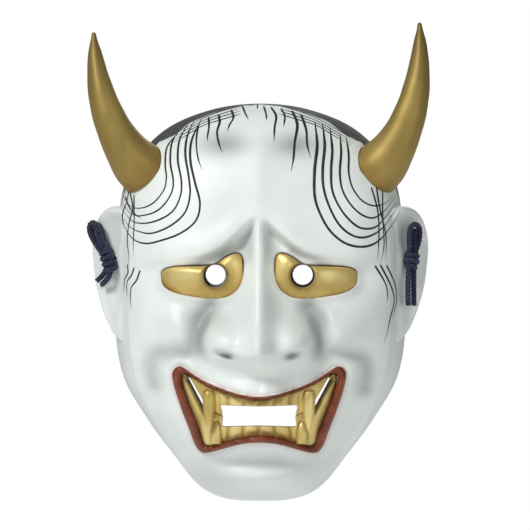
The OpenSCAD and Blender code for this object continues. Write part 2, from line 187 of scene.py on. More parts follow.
navy = Finish("navy_silk", Roughness=0.6, Sheen_Weight=0.12, Sheen_Roughness=0.4)
fibre = navy.noise(900, 2, at=navy.stretched((1, 1, 0.35)))
navy.colour(navy.mixed(fibre.between(0.35, 0.7), srgb(17, 17, 42), srgb(42, 44, 84)))
navy.relief(fibre, 0.00012, 0.6)


def line_tree(name, inputs):
    """A Geometry Nodes tree with named inputs, and the curves of the lines that it is given."""
    tree = bpy.data.node_groups.new(name, "GeometryNodeTree")
    tree.interface.new_socket("Geometry", in_out="INPUT", socket_type="NodeSocketGeometry")
    for label, kind in inputs.items():
        tree.interface.new_socket(label, in_out="INPUT", socket_type="NodeSocket" + kind)
    tree.interface.new_socket("Geometry", in_out="OUTPUT", socket_type="NodeSocketGeometry")
    nodes = Nodes(tree)
    given = nodes.add("NodeGroupInput").outputs
    line = nodes.add("GeometryNodeMeshToCurve", None, {0: given["Geometry"]}).outputs[0]
    return nodes, given, line


def close_tree(nodes, given, line, ring, **sockets):
    """Sweeps a ring along the line and gives the smooth solid its material."""
    solid = nodes.add("GeometryNodeCurveToMesh", None,
                      {"Curve": line, "Profile Curve": ring, "Fill Caps": True, **sockets}).outputs[0]
    smooth_solid = nodes.add("GeometryNodeSetShadeSmooth", None, {0: solid, "Shade Smooth": True}).outputs[0]
    real = nodes.add("GeometryNodeRealizeInstances", None, {0: smooth_solid}).outputs[0]
    coloured = nodes.add("GeometryNodeSetMaterial", None, {"Geometry": real, "Material": given["Material"]})
    nodes.add("NodeGroupOutput", None, {0: coloured.outputs[0]})
    return nodes.tree


def twisted_cord_tree():
    """Turns each line into plies wound round it: the cord lies wherever its line lies."""
    nodes, given, line = line_tree("twisted cord", {"Diameter": "Float", "Lay length": "Float",
                                                    "Plies": "Int", "Material": "Material"})

    def vector(operation, *values, **sockets):
        sockets.update(enumerate(values))
        return nodes.add("ShaderNodeVectorMath", {"operation": operation}, sockets).outputs[0]

    line = nodes.add("GeometryNodeResampleCurve", {"mode": "LENGTH"}, {"Curve": line, "Length": 0.5 * MM})
    plies = nodes.add("GeometryNodeDuplicateElements", {"domain": "SPLINE"},
                      {"Geometry": line.outputs[0], "Amount": given["Plies"]})
    along = Value(nodes, nodes.add("GeometryNodeSplineParameter").outputs["Length"])
    ply, diameter = Value(nodes, plies.outputs["Duplicate Index"]), Value(nodes, given["Diameter"])
    turn = (along / given["Lay length"] + ply / given["Plies"]) * (2 * math.pi)
    normal = nodes.add("GeometryNodeInputNormal").outputs[0]
    beside = vector("CROSS_PRODUCT", nodes.add("GeometryNodeInputTangent").outputs[0], normal)
    wound = vector("ADD", vector("SCALE", normal, Scale=turn.cosine() * (diameter * 0.25)),
                   vector("SCALE", beside, Scale=turn.sine() * (diameter * 0.25)))
    moved = nodes.add("GeometryNodeSetPosition", None, {"Geometry": plies.outputs[0], "Offset": wound})
    ring = nodes.add("GeometryNodeCurvePrimitiveCircle", None, {"Resolution": 8, "Radius": diameter * 0.27})
    return close_tree(nodes, given, moved.outputs[0], ring.outputs[0])


def eased(a, b, c, d, share):
    """A place between b and c on the smooth curve through four places in a row."""
    return 0.5 * (2 * b + (c - a) * share + (2 * a - 5 * b + 4 * c - d) * share ** 2
                  + (3 * b - a - 3 * c + d) * share ** 3)


def spline(points, per):
    """Points on a smooth open curve through the given ones, in mm."""
    points = np.array(points, float)
    ends = np.vstack([points[:1], points, points[-1:]])
    share = np.arange(per)[:, None] / per
    made = [eased(*four, share) for four in zip(ends, ends[1:], ends[2:], ends[3:])]
    return np.vstack(made + [points[-1:]])


def piece_of(name, points, faces, edges=()):
    """A mesh object from points in mm."""
    mesh = bpy.data.meshes.new(name)
    mesh.from_pydata((np.asarray(points, float) * MM).tolist(), edges, [list(map(int, f)) for f in faces])
    piece = bpy.data.objects.new(name, mesh)
    bpy.context.scene.collection.objects.link(piece)
    return piece


def drawn_lines(name, lines):
    """An object of bare lines, each a row of points in mm."""
    starts = np.cumsum([0] + [len(line) for line in lines])
    edges = [(i, i + 1) for start, line in zip(starts, lines) for i in range(start, start + len(line) - 1)]
    return piece_of(name + "_lines", np.vstack(lines), [], edges)


def removed(piece):
    mesh = piece.data
    bpy.data.objects.remove(piece)
    bpy.data.meshes.remove(mesh)


def settled(source, name):
    """A plain mesh piece of what source's modifiers make; the source goes."""
    bpy.context.view_layer.update()
    mesh = bpy.data.meshes.new_from_object(source.evaluated_get(bpy.context.evaluated_depsgraph_get()))
    mesh.name = name
    removed(source)
    piece = bpy.data.objects.new(name, mesh)
    bpy.context.scene.collection.objects.link(piece)
    return piece


def swept(lines, name, tree, **inputs):
    """The piece that a tree makes along an object's lines, with the tree's inputs set by their names."""
    modifier = lines.modifiers.new(name, "NODES")
    modifier.node_group = tree
    for item in tree.interface.items_tree:
        key = item.name.replace(" ", "_")
        if item.item_type == "SOCKET" and item.in_out == "INPUT" and key in inputs:
            modifier[item.identifier] = inputs[key]
    return settled(lines, name)


cord_thick, cord_lay, cord_plies = 3.0, 6.5, 3
cord_tree = twisted_cord_tree()


def cord_piece(name, lines):
    return swept(drawn_lines(name, lines), name, cord_tree, Diameter=cord_thick * MM,
                 Lay_length=cord_lay * MM, Plies=cord_plies, Material=navy.material)


# Where the cord leaves the front of an ear, and the way it leaves
ear_turn, ear_wall = math.radians(50), 7.0
ear_root = np.array([68.0, -26.0, 0.0])
ear_along = np.array([math.cos(ear_turn), math.sin(ear_turn), 0])
ear_out = np.array([math.sin(ear_turn), -math.cos(ear_turn), 0])
ear_hole = ear_root + 11.5 * ear_along + ear_wall / 2 * ear_out + [0, 0, 22.5]
half_route = [ear_hole - deep * ear_out for deep in (0, 11, 22)] + [np.array(place, float) for place in (
    (55, -7, 17.5), (50, -6.5, 12), (42, -7.5, 5), (32, -8.5, -1), (20, -9, -6), (8, -9.5, -8.5))]
route = spline(half_route + [place * [-1, 1, 1] for place in half_route[::-1]], 6)
behind = cord_piece("cord_behind", [route])

knot_wide, knot_proud, ear_slant = 9.5, 3.5, 1.35


def ear_knot(name, side, wraps, lean, loops, tails):
    """Loops and two tails that come out of a knot wound round them, lean mm aslant over its height.

    A point of a loop or tail is how far it lies towards the ear's edge, off the ear, and above the knot."""
    middle = ear_hole + knot_proud * ear_out
    mirror = np.array([side, 1, 1])
    lines = [spline([mirror * (middle + [out, ear_slant * out - lift, up]) for out, lift, up in line], 5)
             for line in loops + tails]
    share = np.linspace(0, 1, 24 * wraps)[:, None]
    turn = 2 * math.pi * wraps * share
    reach = (knot_wide - cord_thick) / 2 * (0.72 + 0.28 * np.sin(math.pi * share))
    ring = (middle + (reach * np.cos(turn) + lean * (share - 0.5)) * ear_along
            + 0.9 * reach * np.sin(turn) * ear_out + cord_thick * wraps * (share - 0.5) * [0, 0, 1])
    stem = spline([mirror * (ear_hole + 0.2 * ear_out), mirror * middle], 5)
    return cord_piece(name, lines + [mirror * ring, stem])


knot_left = ear_knot(
    "ear_knot_left_cord", -1, 4, 5.5,
    loops=[[(1.5, 0, 1), (6.3, 1.0, 7.3), (9.3, 1.2, 12), (10.7, 1.2, 16.4), (9.9, 1.2, 19.2),
            (7.8, 1.2, 19.6), (6.3, 1.2, 17), (5.2, 1.2, 12), (3.0, 1.0, 7), (0, 0, 1)],
           [(1, 0, 1), (5.6, -1.2, 7.5), (8.2, -1.2, 12), (9.2, -1.2, 15.8), (7.4, -0.8, 18.3),
            (5.0, -0.2, 18.2), (3.7, 0.4, 15.4), (2.5, 0.8, 11.4), (0.2, 1.0, 6.6), (-1.5, 0, 0)]],
    tails=[[(0.5, 0, -2.5), (2.4, 0.7, -7.2), (6.2, 0.8, -11.2)],
           [(-2, 0, -3.5), (-0.2, 0.7, -8.9), (3.7, 0.8, -13.3)]])
knot_right = ear_knot(
    "ear_knot_right_cord", 1, 3, 1.5,
    loops=[[(-1.2, 0, 1), (-1.1, 1.0, 6), (-1.2, 1.2, 10), (-1.1, 1.2, 14.4), (0, 1.2, 17.8),
            (2.2, 1.2, 18.9), (4.1, 1.2, 16.8), (4.4, 1.2, 13), (3.7, 1.2, 9), (2.4, 0.8, 5), (1.4, 0, 0)],
           [(0.6, 0, 1), (1.3, 0.8, 7), (1.5, 0.9, 12.4), (1.7, 0.2, 15.0), (1.8, -1.6, 14.6),
            (1.6, -2.0, 10), (0.8, -1.0, 4)]],
    tails=[[(-1.4, 0, -1), (-1.8, 0.7, -9), (-1.9, 0.8, -17), (-1.8, 0.8, -24)],
           [(1.2, 0, -1), (1.2, 0.7, -8.6), (1.2, 0.8, -16.6), (1.3, 0.8, -24.2)]])
for piece, node in ((behind, "hanging_cord"), (knot_left, "ear_knot_left"), (knot_right, "ear_knot_right")):
    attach(piece, "mask")
    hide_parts(node)

# ---------------------------------------------------------------- room
# A pale floor well below the mask, a big soft light high on the left, weaker
# ones on the right and behind, and an even sky that looks white.
floor_low, floor_half = -0.45, 1.6


def soft_light(name, place, aim, side, power):
    data = bpy.data.lights.new(name, "AREA")
    data.shape, data.size, data.energy = "SQUARE", side, power
    light = bpy.data.objects.new(name, data)
    light.location = place
    light.rotation_euler = (Vector(place) - Vector(aim)).to_track_quat("Z", "Y").to_euler()
    bpy.context.scene.collection.objects.link(light)


soft_light("key_light", (-1.35, -1.9, 1.9), (0, -0.03, 0.02), 0.8, 56)
soft_light("fill_light", (1.5, -2.2, 0.5), (0, -0.03, 0.0), 1.2, 8)
soft_light("back_light", (0.6, 2.4, 1.3), (0, 0, 0), 1.2, 12)

world = bpy.data.worlds.new("sky")
bpy.context.scene.world = world
world.use_nodes = True
sky = Nodes(world.node_tree)
lit = sky.tree.nodes["Background"]
lit.inputs["Color"].default_value = (0.94, 1.0, 0.96, 1)
lit.inputs["Strength"].default_value = 0.24
seen = sky.add("ShaderNodeBackground", None, {"Color": (1, 1, 1, 1), "Strength": 1.0})
from_camera = sky.add("ShaderNodeLightPath").outputs["Is Camera Ray"]
both = sky.add("ShaderNodeMixShader", None, {0: from_camera, 1: lit.outputs[0], 2: seen.outputs[0]})
sky.tree.links.new(both.outputs[0], sky.tree.nodes["World Output"].inputs["Surface"])

corners = np.array([(-1, -1), (1, -1), (1, 1), (-1, 1)]) * floor_half / MM
room = piece_of("floor", np.insert(corners, 2, floor_low / MM, 1), [(0, 1, 2, 3)])
plaster = Finish("pale_floor", Roughness=0.9, Emission_Color=(1, 1, 1, 1), Emission_Strength=0.18)
plaster.colour(plaster.mixed(plaster.noise(3), (0.88, 0.89, 0.89), (0.93, 0.94, 0.94)))
room.data.materials.append(plaster.material)

# ---------------------------------------------------------------- face
# The face is one hollow carving of cypress, ears and all. Outside it wears
# coats of white gofun, rubbed to a soft gloss, then ink and red lacquer.
# Inside it shows the gouge under dark lacquer, and the flat rim lies back.


def smooth(a, b, t):
    """0 at a, 1 at b, and a soft step between them."""
    share = np.clip((t - a) / (b - a), 0, 1)
    return share * share * (3 - 2 * share)


def mound(t, power=2.0):
    """1 in the middle and next to nothing past 2, on either side."""
    return np.exp(-abs(t) ** power)


def swelling(x, z, form):
    """A swelling, or a pair of them: middle across and up, half width, half height, rise, edge power."""
    middle_x, middle_z, wide, high, rise, power = (*form, 2.0)[:6]
    return rise * mound((abs(x) - middle_x) / wide, power) * mound((z - middle_z) / high, power)


def round_loop(points, per):
    """Points on a smooth closed curve through the given ones."""
    points = np.array(points, float)
    share = np.arange(per)[:, None] / per
    rows = [np.roll(points, turn, 0) for turn in (1, 0, -1, -2)]
    return np.vstack([eased(*four, share) for four in zip(*rows)])


def both_sides(half):
    """A closed outline from its right half, which starts and ends on the middle line."""
    return half + [(-x, z) for x, z in half[-2:0:-1]]


def gap_to(x, z, line, closed=True):
    """Distance in mm to a drawn line: below zero inside a closed one."""
    nearest, inside = np.full(x.shape, 1e9), np.zeros(x.shape, bool)
    following = np.roll(line, -1, 0)
    for (ax, az), (bx, bz) in list(zip(line, following))[:None if closed else -1]:
        wide, high = bx - ax, bz - az
        along = np.clip(((x - ax) * wide + (z - az) * high) / (wide ** 2 + high ** 2), 0, 1)
        nearest = np.minimum(nearest, np.hypot(x - ax - along * wide, z - az - along * high))
        if closed and az != bz:
            inside ^= ((az > z) != (bz > z)) & (x < wide * (z - az) / high + ax)
    return np.where(inside, -nearest, nearest)


face_depth, rim_wall, dome_wall = 54.0, 8.0, 12.0
# Reach of the rim every 15 degrees, from the crown to the chin
rim_step, rim_reach = 15, np.array([106, 106, 105, 99, 88, 80, 77, 80, 84, 87, 94, 106, 107], float)
lip_inner = round_loop(both_sides([
    (0, -50.8), (10, -49.3), (21, -46), (29, -42.6), (35, -39), (39.6, -37.2), (41.3, -40.5), (38.8, -49.5),
    (35.5, -58.5), (32, -67), (29, -75.4), (22.5, -75), (14, -72.6), (7, -70.8), (0, -70.2)]), 5)
lip_outer = round_loop(both_sides([
    (0, -48.9), (10, -47.6), (21, -44.2), (30, -40.3), (36, -36.6), (42, -33.2), (46, -37), (44.6, -46),
    (41, -57), (37, -67.5), (33.8, -76), (29.5, -79.7), (21, -77.8), (13.7, -75.5), (7, -74.1),
    (0, -73.7)]), 5)
eye_line = round_loop([
    (8.6, 17), (9.3, 24.5), (12.5, 26.2), (17.5, 24.2), (23, 20.6), (28, 19.8), (36, 19.4), (46, 18.8),
    (51.5, 16.2), (51, 9.5), (45, 5.5), (36, 3.6), (27, 2.6), (18, 3), (12, 6.5), (9, 11.5)], 6)
smile_fold = spline([(26, -3), (31.5, -10), (33.5, -20), (36, -26.5), (45, -27.5), (54, -28.5), (58, -34),
                     (56.5, -44)], 5)
# The bridge of the nose, from under its tip to the brow: height, rise and half width
nose_high = [-39.5, -35.5, -31, -26.5, -21, -14, 0, 15, 30, 40, 48]
nose_rise = [0, 5, 16, 23, 25, 23, 17.5, 12.5, 8, 4, 0]
nose_half = [13, 13, 13, 13, 12.5, 11.5, 9, 6.8, 5.6, 5.2, 5]
nose_wing, nose_ball = (19.6, -20, 8.9, 10.3, 14.5, 2.4), (0, -24, 11, 9, 5, 2.2)
nostril, nostril_slope = (18.0, -27.0, 4.6, 1.7, 5.5, 2.4), 0.25
cheek_bone, cheek, muzzle = (50, -6, 17, 15, 4.5), (40, -16, 13, 10, 5), (0, -58, 37, 25, 13, 2.4)
jowl, chin = (46, -36, 9, 11, 3), (0, -95, 24, 9.5, 8, 2.4)
# What the gouge took out behind the brow, nose, mouth, cheeks and chin
gouged = [(0, 70, 36, 22, 6, 2.4), (0, -24, 15, 17, 13.5, 2.2), (0, -56, 32, 22, 11, 2.4),
          (46, -8, 18, 18, 4), (0, -94, 16, 9, 3.5)]
gouge_long, gouge_wide, gouge_deep = 16, 7.5, 0.35


def reach_at(x, z):
    """How far the rim lies from the middle, in the direction of each place."""
    last = len(rim_reach) - 1
    turn = np.minimum(np.degrees(np.arctan2(abs(x), z)) / rim_step, last - 0.0001)
    i = np.floor(turn).astype(int)
    beyond = np.where(i + 2 > last, 2 * last - 2 - i, i + 2)
    return eased(rim_reach[abs(i - 1)], rim_reach[i], rim_reach[i + 1], rim_reach[beyond], turn - i)


def dome(rho):
    """The plain form of the face, from 1 in the middle to 0 at the rim."""
    return np.maximum(1 - rho ** 2.5, 0) ** 0.4


def brow_at(x):
    """Height of the brow's lower edge: steep beside the nose, level over the eye."""
    return 20 + 24.8 * np.exp(-(np.sqrt(x * x + 9) / 17) ** 1.25 + (3 / 17) ** 1.25)


def eye_socket(x, z):
    """The rolled brow and the hollow under it."""
    over, away = z - brow_at(x), abs(x)
    roll = 1.7 * mound((over - 5.5) / 7.5) * smooth(70, 50, away) * smooth(3, 18, away)
    sink = (7.8 * mound(away / 22) + 3.6) * smooth(70, 52, away)
    sink *= 1 - 0.7 * mound(away / 5) * smooth(26, 42, z)
    return roll - sink * smooth(3.6, -4.6, over) * mound(np.minimum(over, 0) / 19)


def nose(x, z):
    rise, half = np.interp(z, nose_high, nose_rise), np.interp(z, nose_high, nose_half)
    bridge = rise * np.exp(-(np.sqrt(x * x + 4.5) / half) ** 1.7 + 0.05)
    opening = swelling(x, z - nostril_slope * (abs(x) - nostril[0]), nostril)
    return bridge + swelling(x, z, nose_wing) + swelling(x, z, nose_ball) - opening


def lips(x, z):
    """A rounded ridge round the mouth, with a fine groove along its outer edge."""
    inner, outer = gap_to(x, z, lip_inner), gap_to(x, z, lip_outer)
    within = (outer < 0) & (inner > 0)
    share = np.where(within, inner / np.maximum(inner - outer, 0.01), 0)
    ridge = 2.2 * (4 * share * (1 - share)) ** 0.8 - 1.2 * (1 - share) ** 2
    return np.where(within, ridge, 0) - np.where(outer > 0, 0.9 * mound(outer / 1.5), 0)


def features(x, z):
    """What stands out of the plain dome, or is cut into it, without the lips."""
    # The ridge up the forehead, the brows and the nose
    shape = 2.6 * np.exp(-np.sqrt(x * x + 12) / 9) * smooth(34, 50, z) * smooth(106, 80, z)
    shape += eye_socket(x, z) + nose(x, z)
    # The lower and the upper lid
    lid = gap_to(abs(x), z, eye_line)
    shape += 2.2 * mound(lid / 3.2) * smooth(20, 6, z) + 1.3 * mound((lid - 0.8) / 1.8) * smooth(12, 18, z)
    # The folds of the cheeks, the dip over the chin and the groove under the nose
    shape -= 3.4 * mound(gap_to(abs(x), z, smile_fold, False) / 5)
    shape -= 4 * mound((z + 84) / 4.5) * smooth(30, 10, abs(x))
    shape -= 1.1 * mound(x / 2.8) * smooth(-50, -45, z) * smooth(-33, -38, z)
    return shape + sum(swelling(x, z, form) for form in (cheek_bone, cheek, muzzle, jowl, chin))


def outer_depth(x, z, lipped=True):
    """Height of the painted front over the rim."""
    rho = np.hypot(x, z) / reach_at(x, z)
    shape = features(x, z) + (lips(x, z) if lipped else 0)
    return np.where(rho < 1, face_depth * dome(rho) + shape * smooth(1, 0.86, rho), 0)


def inner_depth(x, z, share):
    """Height of the hollow over the rim, with the rows of gouge marks."""
    hollow = sum(swelling(x, z, form) for form in gouged)
    row = np.floor((z + 0.2 * x) / gouge_long)
    mark = gouge_deep * abs(np.sin(math.pi * (x / gouge_wide + 0.31 * row))) * smooth(1, 0.9, share)
    return (face_depth - dome_wall) * dome(share) + smooth(1, 0.8, share) * hollow - mark


def front_at(x, z, lipped=False):
    """Depth of the carving at one place."""
    return float(outer_depth(np.array([float(x)]), np.array([float(z)]), lipped)[0])


def disc_grid(cells, mean_reach=90):
    """A square grid bent into a disc: the way to each place, and its share of the reach along the dome."""
    side = np.linspace(-1, 1, cells + 1)
    u, v = np.meshgrid(side, side, indexing="ij")
    flat_x, flat_z = u * np.sqrt(1 - v * v / 2), v * np.sqrt(1 - u * u / 2)
    fine = 1 - np.linspace(1, 0, 4000) ** 2.5
    steps = np.hypot(mean_reach * np.diff(fine), face_depth * np.diff(dome(fine)))
    travel = np.concatenate([[0], np.cumsum(steps)])
    far = np.minimum(np.hypot(flat_x, flat_z), 1)
    unit = np.where(far > 0, far, 1)
    return flat_x / unit, flat_z / unit, np.interp(far, travel / travel[-1], fine)


def grid_faces(cells, start, facing_back):
    """The quads of a square grid of points, and its edge once round."""
    ids = start + np.arange((cells + 1) ** 2).reshape(cells + 1, cells + 1)
    quads = np.stack([ids[:-1, :-1], ids[1:, :-1], ids[1:, 1:], ids[:-1, 1:]], -1).reshape(-1, 4)
    edge = np.concatenate([ids[:-1, 0], ids[-1, :-1], ids[:0:-1, -1], ids[0, :0:-1]])
    return (quads[:, ::-1] if facing_back else quads).tolist(), edge


def closed_body(name, rings, looped=False):
    """A closed piece through rings of equally many points: capped at both ends, or joined end to end."""
    count = len(rings[0])
    starts = [count * j for j in range(len(rings))]
    faces = [] if looped else [range(count), range(starts[-1], starts[-1] + count)]
    for low, high in zip(starts, starts[1:] + ([0] if looped else [])):
        faces += [(low + k, low + (k + 1) % count, high + (k + 1) % count, high + k) for k in range(count)]
    piece = piece_of(name, np.vstack(rings), faces)
    mesh = bmesh.new()
    mesh.from_mesh(piece.data)
    bmesh.ops.recalc_face_normals(mesh, faces=mesh.faces)
    mesh.to_mesh(piece.data)
    mesh.free()
    return piece


def standing(line, y):
    """Flat points given the depths y."""
    return np.insert(line, 1, y, axis=1)


def turned(name, radius, low, high, stand_at, way, sides=64):
    """A round bar along way, between two heights over its foot, with ends that run in to the middle."""
    way = np.array(way, float) / np.linalg.norm(way)
    beside = np.cross(way, [0, 1, 0.01])
    beside /= np.linalg.norm(beside)
    angle = np.linspace(0, 2 * math.pi, sides, endpoint=False)
    circle = radius * (np.outer(np.cos(angle), beside) + np.outer(np.sin(angle), np.cross(way, beside)))
    return closed_body(name, [stand_at + height * way + share * circle
                              for height, share in ((low, 0.01), (low, 1), (high, 1), (high, 0.01))])


def mirrored(points, side):
    return np.array(points) * [side, 1, 1]


# Seat of a horn, and the ball that an eye plate is part of
horn_way = np.array([0.69, -0.38, 0.62]) / np.linalg.norm([0.69, -0.38, 0.62])
horn_place = np.array([63.5, -front_at(63.5, 71.5, lipped=True), 71.5])
seat_depth, root_d, root_gap, peg_d, peg_gap, peg_reach, boss_wall = 4.0, 28.0, 0.35, 12.0, 0.06, 12.0, 5.0
seat_floor = horn_place - seat_depth * horn_way
eye_plate, eye_bulge, pupil_spacing, pupil_height = 2.0, 5.0, 46.0, 14.5
pupil_plate_d, pupil_wood_d, pupil_rise, cord_hole_d = 12.4, 10.6, 0.4, 5.0
pupil = np.array([pupil_spacing / 2, pupil_height])
eye_in, eye_out = np.array([9, -front_at(9, 14)]), np.array([51, -front_at(51, 12)])
chord = eye_out - eye_in
ball_r = (chord @ chord / 4 + eye_bulge ** 2) / (2 * eye_bulge)
outward = np.array([chord[1], -chord[0]]) / np.linalg.norm(chord)
ball_at = (eye_in + eye_out) / 2 - outward * (ball_r - eye_bulge)


def ball_front(x, z, radius):
    """Place along Y of the front of a ball behind the eye."""
    beyond = radius ** 2 - (x - ball_at[0]) ** 2 - (z - pupil_height) ** 2
    return ball_at[1] - np.sqrt(np.maximum(beyond, 0.01))


def eye_pocket(side):
    """The block that cuts the bed of an eye plate, down to the plate's back."""
    rings = [standing(eye_line, -2 * face_depth)]
    for share in np.linspace(1, 0, 12, endpoint=False):
        ring = pupil + share * (eye_line - pupil)
        rings.append(standing(ring, ball_front(*ring.T, ball_r - eye_plate)))
    return closed_body(f"cut_eye_{side}", [mirrored(ring, side) for ring in rings])


ear_line = round_loop([(-6, 45), (2, 49.5), (11, 51), (20, 49.5), (27, 43), (30.5, 32), (30, 20), (27.5, 8),
                       (22, -4), (15, -14), (8, -20.5), (2, -21.5), (-3, -17), (-6, -8)], 7)
ear_middle, ear_round = np.array([11.0, 17.0]), 2.6


def ear(side):
    """A shell of wood with a rolled edge, two hollows and a lobe."""
    front, back = [], []
    for share in (1 - (1 - np.linspace(0, 1, 17)) ** 1.5)[1:]:
        u, w = (ear_middle + share * (ear_line - ear_middle)).T
        edge = (1 - share) * np.hypot(u - ear_middle[0], w - ear_middle[1]) / max(share, 0.05)
        half = ear_wall / 2 - ear_round + np.sqrt(ear_round ** 2 - np.maximum(ear_round - edge, 0) ** 2)
        rolled = half * smooth(-9, 9, u) + 1.1 * mound((edge - 3.2) / 1.9) * smooth(5, 12, u + 0.12 * w)
        rolled -= 2.8 * mound((u - 13) / 6.5, 2.6) * mound((w - 37) / 8.5, 2.6)
        rolled -= 2.4 * mound((u - 11) / 6, 2.4) * mound((w - 6) / 7.5, 2.4)
        rolled += 0.9 * mound((u - 7) / 6) * mound((w + 12) / 6)
        flat = mirrored(ear_root + np.outer(u, ear_along) + np.outer(w, [0, 0, 1]), side)
        front.append(flat + np.outer(rolled, mirrored(ear_out, side)))
        back.append(flat - np.outer(half, mirrored(ear_out, side)))
    return closed_body(f"ear_{side}", front + back[::-1])


# The front, the hollow with half as many cells, and the flat rim that joins their edges
front_cells, back_cells = 240, 120
way_x, way_z, share = disc_grid(front_cells)
out_x, out_z = (way * reach_at(way_x, way_z) * share for way in (way_x, way_z))
front_points = np.stack([out_x, -outer_depth(out_x, out_z), out_z], -1).reshape(-1, 3)
way_x, way_z, share = disc_grid(back_cells)
reach = reach_at(way_x, way_z)
carved = inner_depth(way_x * reach * share, way_z * reach * share, share)
in_x, in_z = (way * (reach - rim_wall) * share for way in (way_x, way_z))
back_points = np.stack([in_x, -carved, in_z], -1).reshape(-1, 3)
front_faces, front_edge = grid_faces(front_cells, 0, False)
back_faces, back_edge = grid_faces(back_cells, len(front_points), True)
points = np.vstack([front_points, back_points])
points[front_edge, 1] = points[back_edge, 1] = 0
rim_faces = []
for k in range(len(back_edge)):
    a, b, c = front_edge[2 * k], front_edge[2 * k + 1], front_edge[(2 * k + 2) % len(front_edge)]
    p, q = back_edge[k], back_edge[(k + 1) % len(back_edge)]
    rim_faces += [(a, p, b), (b, p, q), (b, q, c)]
carving = piece_of("carving", points, front_faces + back_faces + rim_faces)

# Ears and dowel bosses are joined on; mouth, eyes, horn seats, bores and cord holes are cut out
joined = []
cut = [closed_body("cut_mouth", [standing(lip_inner, y) for y in (-2 * face_depth, -10)])]
for side in (-1, 1):
    seat, way = mirrored(seat_floor, side), mirrored(horn_way, side)
    joined.append(ear(side))
    joined.append(turned(f"boss_{side}", peg_d / 2 + boss_wall, -peg_reach - 3, 0, seat, way))
    cut.append(eye_pocket(side))
    cut.append(turned(f"cut_pupil_{side}", pupil_wood_d / 2, -2 * face_depth, 0,
                      np.array([side * pupil_spacing / 2, 0, pupil_height + pupil_rise]), (0, 1, 0)))
    cut.append(turned(f"cut_seat_{side}", root_d / 2 + root_gap, 0, 30, seat, way, 96))
    cut.append(turned(f"cut_bore_{side}", peg_d / 2 + peg_gap, -peg_reach - 0.5, 0.5, seat, way))
    cut.append(turned(f"cut_cord_{side}", cord_hole_d / 2, -40, 10, mirrored(ear_hole, side),
                      mirrored(ear_out, side), 32))
for solid in joined + cut:
    modifier = carving.modifiers.new(solid.name, "BOOLEAN")
    modifier.operation = "UNION" if solid in joined else "DIFFERENCE"
    modifier.solver, modifier.object = "MANIFOLD", solid
face = settled(carving, "face_wood")
for solid in joined + cut:
    removed(solid)


def paint(piece, **layers):
    """Writes what the finish reads, one number for each point of the mesh."""
    for name, values in layers.items():
        layer = piece.data.attributes.new(name, "FLOAT", "POINT")
        layer.data.foreach_set("value", np.asarray(values, np.float32).ravel())


def points_of(piece):
    flat = np.empty(3 * len(piece.data.vertices))
    piece.data.vertices.foreach_get("co", flat)
    return flat.reshape(-1, 3) / MM


def fitted(piece, material, body, node=None, sharp=None):
    """Gives a finished piece its material, soft shading, body, slot and place in the frame."""
    piece.data.materials.clear()
    piece.data.materials.append(material)
    piece.data.shade_smooth()
    if sharp:
        piece.data.set_sharp_from_angle(angle=math.radians(sharp))
    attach(piece, body)
    if node:
        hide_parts(node)


# Where each point of the carving lies: on an ear, over the front, in an eye, on the hollow's side
x, depth, z = (points_of(face) * [1, -1, 1]).T
reach = reach_at(x, z)
rho = np.hypot(x, z) / reach
along_ear = (abs(x) - ear_root[0]) * ear_along[0] + (-depth - ear_root[1]) * ear_along[1]
on_ear = (along_ear > -3) & (rho > 0.86)
skin = depth - np.where(rho < 1, outer_depth(x, z), 0)
eye_gap = gap_to(abs(x), z, eye_line)
in_hole = (eye_gap < -0.25) & (skin > -9) & (depth > 20)
wall_in = (dome(np.clip(depth, 0, face_depth) / face_depth) - rho) * reach
outside = ((skin > -2.6) & (rho < 0.9999)) | ((wall_in < 3.2) & (rho > 0.8))
outside = (outside | ((abs(eye_gap) < 0.25) & (skin > -5))) & (depth > 0.05) & ~in_hole
half_hair = [(0, 105.3), (9, 104.6), (18, 102.6), (28, 99.4), (37, 95.5), (46, 88.5), (54, 85), (60, 78),
             (68, 68), (72.5, 60), (75, 52), (77, 44)]
hair_edge = np.array([(-across, up) for across, up in half_hair[::-1]] + half_hair[1:]
                     + [(130, 44), (130, 140), (-130, 140), (-130, 44)])
hair = np.where(on_ear & (skin > 3), 9, gap_to(x, z, hair_edge))
# Grey smudges painted over the brows, and painted shade beside the bridge of the nose, on the ears, in the
# nostrils, under the eyes, on and under the chin and in every fold
smudge = swelling(x, z, (18.8, 83.6, 12.5, 6.5, 1.0))
hollow = smooth(1.2, 4.5, abs(x)) * smooth(4.5, -3.5, abs(x) - 2.4 - 0.52 * (43 - z)) * smooth(16, 30, z)
wing = np.hypot(abs(x) - 19.6, (z + 20) / 1.05) - 11.9
creases = mound(gap_to(abs(x), z, smile_fold, False) / 5) + 0.3 * on_ear
creases += mound(wing / 3) * smooth(-34, -24, z) * smooth(24, 29, abs(x))
creases += swelling(x, z - nostril_slope * (abs(x) - nostril[0]), (17.9, -27, 5.0, 1.9, 1.2))
for fold in ((0, -83.5, 26, 5, 0.6), (16.2, -27.4, 2.2, 1.5, 1.4), (29, -7, 14, 8, 0.95),
             (27, -92, 14, 12, 0.5), (0, -105, 30, 7, 0.4)):
    creases += swelling(x, z, fold)
paint(face, comb=(depth + reach - np.hypot(x, z)) * MM, around=np.arctan2(x, z) * 9 * MM, outside=outside,
      lip=gap_to(x, z, lip_outer), hair=hair, smudge=smudge, hollow=hollow, creases=np.clip(creases, 0, 2),
      lid=smooth(13, 18, z), eye_gap=np.clip(eye_gap, -9, 9), in_hole=in_hole)

